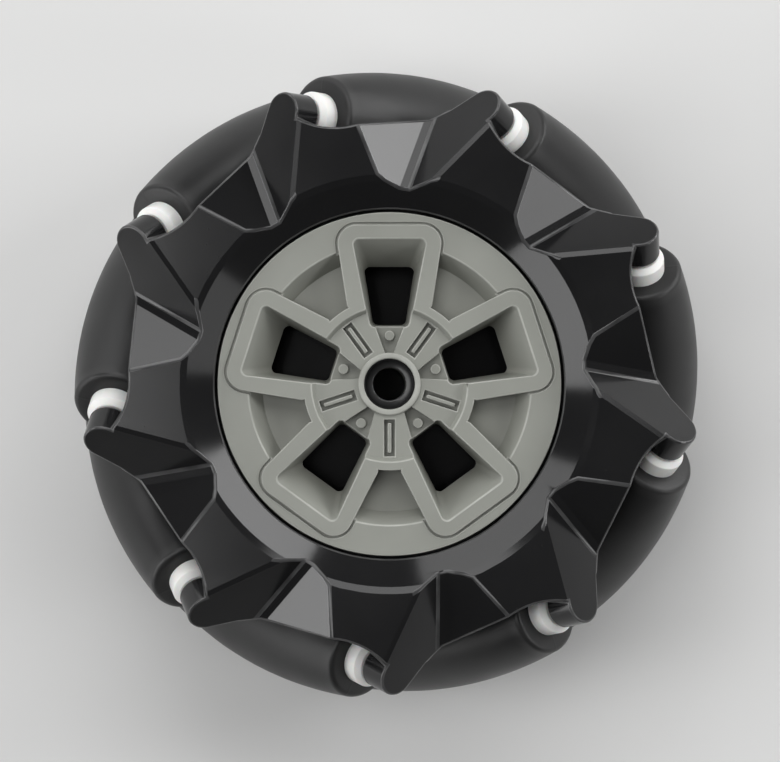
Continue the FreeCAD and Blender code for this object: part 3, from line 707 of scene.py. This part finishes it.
@dataclass
class Moulding:
    """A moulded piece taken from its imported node, with real rounds on its edges."""

    node: str
    slot: Slot
    edge_width: float
    round_hollows: bool = True
    plain_radius: float = 0.0
    sunk_level: float | None = None
    sunk_by: float = 0.6 * MM
    flank: HornFlank | None = None
    taper: PadTaper | None = None
    weld_distance: float = 0.002 * MM
    flat_angle: float = math.radians(1.0)
    sharp_angle: float = math.radians(28.0)
    even_angle: float = math.radians(12.0)
    round_steps: int = 2
    round_profile: float = 0.5

    def build(self, maker: PieceMaker) -> None:
        """Round the node's mesh and finish it as a piece.

        Args:
            maker: Maker of the pieces.
        """
        mesh = bmesh.new()
        mesh.from_mesh(maker.frame["nodes"][self.node].data)
        bmesh.ops.remove_doubles(mesh, verts=mesh.verts, dist=self.weld_distance)
        if self.sunk_level is not None:
            for vertex in mesh.verts:
                if abs(vertex.co.z - self.sunk_level) < self.weld_distance:
                    vertex.co.z -= self.sunk_by
        bmesh.ops.dissolve_limit(
            mesh, angle_limit=self.flat_angle, verts=mesh.verts, edges=mesh.edges,
            use_dissolve_boundaries=False)
        rounds = self._round_edges(mesh)
        if self.flank:
            self.flank.fill(mesh, maker.frame["joints"])
        if self.taper:
            self.taper.narrow(mesh)
        mesh.normal_update()
        normals = self._corner_normals(mesh, rounds)
        maker.finish(f"{self.node}_moulding", mesh, self.slot, HUB_BODY, [self.node], normals)

    def _is_sharp(self, edge: bmesh.types.BMEdge) -> bool:
        """Whether an edge gets a round.

        Args:
            edge: Edge of the welded mesh.

        Returns:
            True for a sharp edge, outside the plain middle and, if hollows stay sharp, not in a hollow.
        """
        if len(edge.link_faces) != 2 or edge.calc_face_angle() < self.sharp_angle:
            return False
        if all(vertex.co.xy.length < self.plain_radius for vertex in edge.verts):
            return False
        return edge.is_convex or self.round_hollows

    def _round_edges(self, mesh: bmesh.types.BMesh) -> set[bmesh.types.BMFace]:
        """Round the sharp edges and mark the rounds in the edge layer.

        Args:
            mesh: Welded mesh of the piece.

        Returns:
            Faces of the rounds.
        """
        sharp = [edge for edge in mesh.edges if self._is_sharp(edge)]
        made = bmesh.ops.bevel(
            mesh, geom=sharp, offset=self.edge_width, offset_type="OFFSET", segments=self.round_steps,
            profile=self.round_profile, affect="EDGES", clamp_overlap=False, loop_slide=False)
        layer = mesh.loops.layers.float.new(EDGE_LAYER)
        for face in made["faces"]:
            for corner in face.loops:
                corner[layer] = 1.0
        bmesh.ops.recalc_face_normals(mesh, faces=mesh.faces)
        return set(made["faces"])

    def _corner_normals(self, mesh: bmesh.types.BMesh, rounds: set[bmesh.types.BMFace]) -> list[Vector]:
        """Normals that keep flat faces flat and curved ones even, with the rounds turning between them.

        Args:
            mesh: Rounded mesh of the piece.
            rounds: Faces of the rounds.

        Returns:
            Normal of each face corner, in the mesh's order.
        """
        normals = []
        for face in mesh.faces:
            for vertex in face.verts:
                main = [corner for corner in vertex.link_loops if corner.face not in rounds]
                if face not in rounds:
                    main = [corner for corner in main
                            if corner.face.normal.angle(face.normal, 0.0) < self.even_angle]
                total = Vector()
                for corner in main or vertex.link_loops:
                    total += corner.face.normal * corner.calc_angle()
                normals.append(total.normalized() if total.length else face.normal.copy())
        return normals


@dataclass
class Hub:
    """The two toothed halves of the hub and the spoked insert between them."""

    half_nodes: tuple[str, ...] = ("front_hub", "rear_hub")
    half_edge: float = 0.28 * MM
    insert_node: str = "spoke_insert"
    insert_edge: float = 0.15 * MM
    insert_plain_radius: float = 4.2 * MM
    insert_slot_level: float = 32.35 * MM

    def build(self, maker: PieceMaker) -> None:
        """Build the mouldings.

        Args:
            maker: Maker of the pieces.
        """
        for node in self.half_nodes:
            Moulding(node, Slot.BLACK_PLASTIC, self.half_edge, flank=HornFlank()).build(maker)
        insert = Moulding(
            self.insert_node, Slot.GREY_PLASTIC, self.insert_edge, round_hollows=False,
            plain_radius=self.insert_plain_radius, sunk_level=self.insert_slot_level, taper=PadTaper())
        insert.build(maker)


def add_rings(mesh: bmesh.types.BMesh, profile: Sequence[tuple[float, float]], steps: int, centre: Vector,
              closed: bool = False) -> list[list[bmesh.types.BMVert]]:
    """Turn a profile about an upright axis into rings of vertices with faces between them.

    Args:
        mesh: Mesh to add to.
        profile: Radius and height of each corner, in order.
        steps: Number of steps round the axis.
        centre: Point on the axis from which heights count.
        closed: Whether faces join the last ring to the first.

    Returns:
        The rings, in the profile's order.
    """
    rings = []
    for radius, height in profile:
        ring = []
        for step in range(steps):
            angle = 2 * math.pi * step / steps
            offset = Vector((radius * math.cos(angle), radius * math.sin(angle), height))
            ring.append(mesh.verts.new(centre + offset))
        rings.append(ring)
    for ring, following in zip(rings, rings[1:] + (rings[:1] if closed else [])):
        for step in range(steps):
            after = (step + 1) % steps
            mesh.faces.new((ring[step], ring[after], following[after], following[step]))
    return rings


def turn(profile: Sequence[tuple[float, float]], steps: int, rounds: Iterable[int]) -> bmesh.types.BMesh:
    """Turn a closed profile about the Z axis.

    Args:
        profile: Radius and height of each corner, in order round the section.
        steps: Number of steps round the axis.
        rounds: Indices of the corners that lie on rounded edges.

    Returns:
        Mesh of the turned solid.
    """
    mesh = bmesh.new()
    layer = mesh.verts.layers.float.new(EDGE_LAYER)
    own_place = mesh.verts.layers.float_vector.new(OWN_PLACE_LAYER)
    rings = add_rings(mesh, profile, steps, Vector(), closed=True)
    for index in rounds:
        for vertex in rings[index]:
            vertex[layer] = 1.0
    for vertex in mesh.verts:
        vertex[own_place] = vertex.co
    bmesh.ops.recalc_face_normals(mesh, faces=mesh.faces)
    return mesh


def corner_arc(centre: tuple[float, float], radius: float, start: float, end: float, steps: int) -> Profile:
    """Points of an arc in a profile.

    Args:
        centre: Radius and height of the arc's centre.
        radius: Radius of the arc.
        start: First angle in degrees, from the outward direction towards up.
        end: Last angle in degrees.
        steps: Number of steps.

    Returns:
        The points.
    """
    points = []
    for step in range(steps + 1):
        angle = math.radians(start + (end - start) * step / steps)
        points.append((centre[0] + radius * math.cos(angle), centre[1] + radius * math.sin(angle)))
    return points


@dataclass
class CentreBore:
    """The insert's centre: a rounded ring round the counterbore, and a black lining in it that paints the
    counterbore's shade.
    """

    seat_node: str = "spoke_insert"
    seat_radius: float = 3.2 * MM
    bore_radius: float = 2.05 * MM
    ring_reach: float = 0.75 * MM
    ring_rise: float = 0.2 * MM
    ring_foot: float = 0.5 * MM
    wall: float = 0.2 * MM
    floor: float = 0.3 * MM
    shade_lining_drop: float = 0.25 * MM
    lip: float = 0.2 * MM
    lip_steps: int = 4
    turn_steps: int = 96

    def build(self, maker: PieceMaker) -> None:
        """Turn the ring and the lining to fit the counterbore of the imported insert.

        Args:
            maker: Maker of the pieces.
        """
        levels = [
            vertex.co.z for vertex in maker.frame["nodes"][self.seat_node].data.vertices
            if abs(vertex.co.xy.length - self.seat_radius) < self.wall / 2]
        for name, slot, (profile, rounds) in (
            ("centre_ring", Slot.GREY_PLASTIC, self._ring_profile(max(levels))),
            # painted shade: a black lining stands in for the shade deep in the counterbore
            ("painted_shade_lining", Slot.BLACK_PLASTIC,
             self._shade_lining_profile(min(levels), max(levels) - self.shade_lining_drop)),
        ):
            maker.finish(name, turn(profile, self.turn_steps, rounds), slot, HUB_BODY)

    def _ring_profile(self, seat: float) -> tuple[Profile, list[int]]:
        """Section of the ring that stands on the insert's boss.

        Args:
            seat: Height of the boss.

        Returns:
            The closed profile and the indices of its rounded corners.
        """
        inside, outside = self.seat_radius, self.seat_radius + self.ring_reach
        middle = seat + self.ring_rise - self.lip
        top = corner_arc((outside - self.lip, middle), self.lip, 0.0, 90.0, self.lip_steps)
        top += corner_arc((inside + self.lip, middle), self.lip, 90.0, 180.0, self.lip_steps)
        foot = seat - self.ring_foot
        return [(outside, foot), *top, (inside, foot)], list(range(1, 1 + len(top)))

    def _shade_lining_profile(self, bottom: float, top: float) -> tuple[Profile, list[int]]:
        """Section of the cup-shaped black lining, which stands in for the shade deep in the counterbore.

        Args:
            bottom: Height of the counterbore's floor.
            top: Height of the lining's edge.

        Returns:
            The closed profile and the indices of its rounded corners.
        """
        inside, outside = self.seat_radius - self.wall, self.seat_radius
        level = bottom + self.floor
        edge = corner_arc(
            (self.bore_radius + self.lip, level - self.lip), self.lip, 180.0, 90.0, self.lip_steps)
        profile = [(outside, bottom), (self.bore_radius, bottom), *edge]
        profile += [(inside, level), (inside, top), (outside, top)]
        return profile, list(range(2, 2 + len(edge)))


@dataclass
class Roller:
    """One roller: a rubber tyre on a nylon core, turned about the roller's own axis."""

    joint: dict[str, Any]
    turn_steps: int = 72
    barrel_steps: int = 28
    tyre_lip: float = 0.75 * MM
    collar_lip: float = 0.22 * MM
    lip_steps: int = 5
    digits: int = 5
    past_middle: float = 1.0 * MM
    end_depth: float = 1.0 * MM
    least_wall: float = 0.5 * MM
    near: float = 0.1 * MM
    close: float = 0.05 * MM

    def build(self, maker: PieceMaker) -> None:
        """Build the roller's pieces round its joint and dress its pin.

        Args:
            maker: Maker of the pieces.
        """
        body = self.joint["child"]
        number = body.split("_")[1]
        place = roller_place(self.joint)
        for part, slot, profile_of in (
            ("tyre", Slot.BLACK_RUBBER, self._tyre_profile),
            ("core", Slot.WHITE_NYLON, self._core_profile),
        ):
            node = f"roller_{part}_{number}"
            profile, rounds = profile_of(self._section(maker.frame["nodes"][node], place))
            mesh = turn(profile, self.turn_steps, rounds)
            mesh.transform(place)
            maker.finish(f"roller_{number}_{part}", mesh, slot, body, [node])
        maker.dress(f"roller_pin_{number}", Slot.STEEL)

    def _section(self, node: bpy.types.Object, place: Matrix) -> Profile:
        """Radius and height of each corner of a node's section, from just past its middle to its upper end.

        Args:
            node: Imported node, turned about the roller's axis.
            place: Frame of the roller.

        Returns:
            Distinct corners, highest first.
        """
        home = place.inverted()
        corners = set()
        for vertex in node.data.vertices:
            spot = home @ vertex.co
            if spot.z > -self.past_middle:
                corners.add((round(math.hypot(spot.x, spot.y), self.digits), round(spot.z, self.digits)))
        return sorted(corners, key=lambda corner: -corner[1])

    def _tyre_profile(self, section: Profile) -> tuple[Profile, list[int]]:
        """Section of the tyre: a barrel with rounded lips over the core's shoulders.

        Args:
            section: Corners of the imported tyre.

        Returns:
            The closed profile and the indices of its rounded corners.
        """
        half = section[0][1]
        collar = min(radius for radius, height in section if height > half - self.near)
        middle = max(radius for radius, _ in section)
        end = max(radius for radius, height in section if height > half - self.end_depth)
        shoulder = min(
            height for radius, height in section if radius < collar + self.near and height > half / 2)
        core = max(
            radius for radius, height in section
            if abs(height - shoulder) < self.close and radius < end - self.least_wall)
        lip = self.tyre_lip
        barrel = []
        for step in range(1, self.barrel_steps):
            share = 1 - 2 * step / self.barrel_steps
            barrel.append((middle - (middle - end) * share ** 2, share * (half - lip)))
        upper = corner_arc((end - lip, half - lip), lip, 90.0, 0.0, self.lip_steps)
        lower = [(radius, -height) for radius, height in reversed(upper)]
        outer = upper + barrel + lower
        hollow = [(collar, half), (collar, shoulder), (core, shoulder)]
        inner = [(radius, -height) for radius, height in hollow] + hollow[::-1]
        rounds = list(range(len(upper))) + list(range(len(outer) - len(lower), len(outer)))
        return outer + inner, rounds

    def _core_profile(self, section: Profile) -> tuple[Profile, list[int]]:
        """Section of the core: a bored barrel with a rounded collar at each end.

        Args:
            section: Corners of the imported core.

        Returns:
            The closed profile and the indices of its rounded corners.
        """
        half = section[0][1]
        bore = min(radius for radius, _ in section)
        nose = max(radius for radius, height in section if height > half - self.close)
        core = max(radius for radius, _ in section)
        shoulder = max(height for radius, height in section if radius > core - self.close)
        collar = max(radius for radius, height in section if height > shoulder + self.close)
        lip = self.collar_lip
        collar_top = half - (collar - nose) - lip * math.tan(math.radians(22.5))
        upper = [(bore, half - lip), (bore + lip, half)]
        upper += corner_arc((nose - lip, half - lip), lip, 90.0, 45.0, self.lip_steps)
        upper += corner_arc((collar - lip, collar_top), lip, 45.0, 0.0, self.lip_steps)
        upper += [(collar, shoulder), (core, shoulder)]
        lower = [(radius, -height) for radius, height in reversed(upper)]
        rounds = list(range(2, len(upper) - 2))
        rounds += [len(upper) + len(lower) - 1 - index for index in rounds]
        return upper + lower, rounds


@dataclass
class ScrewSet:
    """The five screws in the rear web: turned heads with a cross recess, on plain shanks."""

    node: str = "assembly_screws"
    name: str = "assembly_screw_set"
    reach_of_one: float = 8 * MM
    turn_steps: int = 40
    cross_reach: float = 1.25 * MM
    cross_width: float = 0.62 * MM
    cross_depth: float = 0.85 * MM
    cross_taper: float = 0.55
    head_lip: float = 0.35 * MM
    head_slack: float = 0.05 * MM
    head_clear: float = 1.0 * MM
    tip_share: float = 0.25
    lip_steps: int = 4

    def build(self, maker: PieceMaker) -> None:
        """Build all screws as one piece.

        Args:
            maker: Maker of the pieces.
        """
        node = maker.frame["nodes"][self.node]
        low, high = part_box(self.node)
        centres = self._centres(node, low.z)
        first = centres[0].xy
        section = [((vertex.co.xy - first).length, vertex.co.z - low.z) for vertex in node.data.vertices]
        section = [corner for corner in section if corner[0] < self.reach_of_one]
        profile = self._profile(section, high.z - low.z)
        mesh = bmesh.new()
        layer = mesh.verts.layers.float.new(EDGE_LAYER)
        for centre in centres:
            rings = add_rings(mesh, profile, self.turn_steps, centre)
            mesh.faces.new(rings[-1])
            for ring in rings[1:self.lip_steps + 1]:
                for vertex in ring:
                    vertex[layer] = 1.0
            self._sink_cross(mesh, layer, centre, rings[0])
        bmesh.ops.recalc_face_normals(mesh, faces=mesh.faces)
        maker.finish(self.name, mesh, Slot.STEEL, HUB_BODY, [self.node])

    def _centres(self, node: bpy.types.Object, level: float) -> list[Vector]:
        """Middles of the heads' outer faces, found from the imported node.

        Args:
            node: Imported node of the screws.
            level: Height of the heads' outer faces.

        Returns:
            One point for each screw.
        """
        groups: list[list[Vector]] = []
        for vertex in node.data.vertices:
            spot = vertex.co.xy
            near = [group for group in groups if (group[0] - spot).length < self.reach_of_one]
            if near:
                near[0].append(spot)
            else:
                groups.append([spot])
        centres = []
        for group in groups:
            middle_x = (min(spot.x for spot in group) + max(spot.x for spot in group)) / 2
            middle_y = (min(spot.y for spot in group) + max(spot.y for spot in group)) / 2
            centres.append(Vector((middle_x, middle_y, level)))
        return centres

    def _profile(self, section: Profile, length: float) -> Profile:
        """Section of a screw, its head down, from the outer face's edge to the tip.

        Args:
            section: Distance from the axis and height of each corner of a packed screw.
            length: Whole length of the screw.

        Returns:
            The open profile, which begins with the round of the head.
        """
        radius = max(distance for distance, _ in section)
        head = max(height for distance, height in section if distance > radius - self.head_slack)
        shank = max(distance for distance, height in section if height > head + self.head_clear)
        lip = self.head_lip
        profile = corner_arc((radius - lip, lip), lip, -90.0, 0.0, self.lip_steps)
        profile += [(radius, head), (shank, head), (shank, length - shank), (shank * self.tip_share, length)]
        return profile

    def _sink_cross(self, mesh: bmesh.types.BMesh, layer: bmesh.types.BMLayerItem, centre: Vector,
                    rim: list[bmesh.types.BMVert]) -> None:
        """Close the head's outer face round a tapered cross recess.

        Args:
            mesh: Mesh of the screws.
            layer: Edge layer of the mesh.
            centre: Middle of the head's outer face.
            rim: Ring of vertices round the face.
        """
        half, reach = self.cross_width / 2, self.cross_reach
        arm = [Vector((half, half, 0.0)), Vector((half, reach, 0.0)), Vector((-half, reach, 0.0))]
        outline = []
        for side in range(4):
            turned = Matrix.Rotation(side * math.pi / 2, 3, "Z")
            outline += [turned @ point for point in arm]
        mouth = [mesh.verts.new(centre + point) for point in outline]
        for vertex in mouth:
            vertex[layer] = 1.0
        sink = Vector((0.0, 0.0, self.cross_depth))
        foot = [mesh.verts.new(centre + point * self.cross_taper + sink) for point in outline]
        edges = []
        for ring in (mouth, rim):
            for pair in zip(ring, ring[1:] + ring[:1]):
                edges.append(mesh.edges.get(pair) or mesh.edges.new(pair))
        bmesh.ops.triangle_fill(mesh, edges=edges, use_beauty=True, use_dissolve=False)
        for place, vertex in enumerate(mouth):
            after = (place + 1) % len(mouth)
            mesh.faces.new((vertex, mouth[after], foot[after], foot[place]))
        mesh.faces.new(foot)


@dataclass(frozen=True)
class Softbox:
    """A soft light round the wheel; its angles and its size are in degrees, as the wheel sees them."""

    name: str
    azimuth: float
    elevation: float
    sweep: float
    rise: float
    radiance: float
    energy_factor: float = 4.0

    def build(self, target: Vector, distance: float) -> None:
        """Set up the light and aim it at the wheel.

        Args:
            target: Point that the light faces.
            distance: Distance of the light from the target.
        """
        azimuth, elevation = math.radians(self.azimuth), math.radians(self.elevation)
        level = Vector((math.cos(azimuth), math.sin(azimuth), 0.0))
        outward = level * math.cos(elevation) + Vector((0.0, 0.0, math.sin(elevation)))
        light = bpy.data.lights.new(self.name, "AREA")
        light.shape = "RECTANGLE"
        light.size = 2 * distance * math.tan(math.radians(self.sweep) / 2)
        light.size_y = 2 * distance * math.tan(math.radians(self.rise) / 2)
        light.energy = self.energy_factor * light.size * light.size_y * self.radiance
        lamp = new_object(self.name, light)
        lamp.location = target + outward * distance
        lamp.rotation_euler = (-outward).to_track_quat("-Z", "Y").to_euler()
        lamp.visible_camera = False


@dataclass
class Studio:
    """Pale floor, soft lights and the camera above the wheel."""

    floor_radius: float = 1.9
    floor_flat: float = 1.35
    floor_rise: float = 0.20
    floor_steps: int = 96
    rise_steps: int = 12
    floor_colour: Colour = (0.74, 0.74, 0.735, 1.0)
    floor_roughness: float = 0.85
    light_distance: float = 1.0
    camera_height: float = 0.6
    camera_shift: tuple[float, float] = (-0.0046, -0.0041)
    aim: tuple[float, float] = (0.00018, 0.00049)
    lens: float = 214.6
    sensor: float = 36.0
    clip_start: float = 0.01
    sky_level: float = 0.06
    under_level: float = 0.6
    under_band: float = 0.02

    boxes: tuple[Softbox, ...] = (
        Softbox("key", 90.0, 52.0, 50.0, 26.0, 2.3),
        Softbox("right_high", 20.0, 29.0, 22.0, 16.0, 6.2),
        Softbox("right_low", 43.0, 9.0, 44.0, 14.0, 4.0),
        Softbox("right_front", -20.0, 29.0, 20.0, 16.0, 3.2),
        Softbox("right_front_low", -18.0, 9.0, 30.0, 14.0, 0.9),
        Softbox("back_high", 104.0, 29.0, 24.0, 16.0, 2.6),
        Softbox("back_low", 127.0, 9.0, 56.0, 14.0, 2.0),
        Softbox("left_high", 183.0, 29.0, 24.0, 16.0, 4.4),
        Softbox("left_low", 203.0, 9.0, 48.0, 14.0, 2.8),
        Softbox("overhead", 180.0, 68.0, 26.0, 36.0, 2.2),
    )

    def build(self) -> None:
        """Set up the floor, the lights, the surroundings and the camera."""
        low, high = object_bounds()
        middle = Vector((0.0, 0.0, (low.z + high.z) / 2))
        self._floor(low.z)
        for box in self.boxes:
            box.build(middle, self.light_distance)
        self._surroundings()
        self._camera(middle)
        bpy.context.scene.view_settings.view_transform = "Standard"

    def _floor(self, level: float) -> None:
        """Lay a round pale floor whose rim turns up, from the rim inwards so that its faces point up.

        Args:
            level: Height of the floor.
        """
        stations = []
        for step in range(self.rise_steps, -1, -1):
            share = step / self.rise_steps
            radius = self.floor_flat + (self.floor_radius - self.floor_flat) * share
            stations.append((radius, self.floor_rise * share ** 2))
        mesh = bmesh.new()
        rings = add_rings(mesh, stations, self.floor_steps, Vector((0.0, 0.0, level)))
        mesh.faces.new(rings[-1])
        data = smooth_data("studio_floor", mesh)
        data.materials.append(self._floor_material())
        new_object("studio_floor", data)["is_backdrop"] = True

    def _floor_material(self) -> bpy.types.Material:
        """Pale matt paper that is only seen from above.

        Returns:
            The material.
        """
        material, board = new_material("floor_paper")
        paper = board.add("BsdfPrincipled", {
            "Base Color": self.floor_colour, "Roughness": self.floor_roughness})
        clear = board.add("BsdfTransparent")
        below = board.add("NewGeometry").outputs["Backfacing"]
        mix = board.add("MixShader", {0: below, 1: paper.outputs[0], 2: clear.outputs[0]})
        board.add("OutputMaterial", {"Surface": mix.outputs[0]})
        return material

    def _surroundings(self) -> None:
        """Dim grey surroundings, lighter below the floor's level."""
        world = bpy.data.worlds.new("surroundings")
        world.use_nodes = True
        board = NodeBoard(world.node_tree)
        direction = board.add("TexCoord").outputs["Generated"]
        height = board.add("SeparateXYZ", {0: direction}).outputs["Z"]
        below = board.spread(height, -self.under_band, 0.0, self.under_level, 0.0)
        strength = board.math("MAXIMUM", self.sky_level, below)
        backdrop = board.add("Background", {"Color": (1.0, 1.0, 1.0, 1.0), "Strength": strength})
        board.add("OutputWorld", {"Surface": backdrop.outputs[0]})
        bpy.context.scene.world = world

    def _camera(self, middle: Vector) -> None:
        """Hang the camera above the wheel, a little off its axis.

        Args:
            middle: Middle of the wheel.
        """
        data = bpy.data.cameras.new("camera")
        data.lens = self.lens
        data.sensor_width = self.sensor
        data.clip_start = self.clip_start
        camera = new_object("camera", data)
        camera.location = middle + Vector((*self.camera_shift, self.camera_height))
        sight = middle + Vector((*self.aim, 0.0)) - camera.location
        up = Vector((1.0, 0.0, 0.0)).cross(sight).normalized()
        side = sight.cross(up).normalized()
        camera.rotation_euler = Matrix((side, up, -sight.normalized())).transposed().to_euler()
        bpy.context.scene.camera = camera


def write_sizes() -> None:
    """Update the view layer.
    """
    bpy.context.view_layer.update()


def main() -> None:
    """Dress the wheel piece by piece and set up its studio."""
    logging.basicConfig(level=logging.INFO, format="%(name)s %(message)s")
    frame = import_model()
    maker = PieceMaker(frame, FinishRack())
    Hub().build(maker)
    CentreBore().build(maker)
    for joint in frame["joints"]:
        Roller(joint).build(maker)
    ScrewSet().build(maker)
    Studio().build()
    write_sizes()


if __name__ == "__main__":
    main()
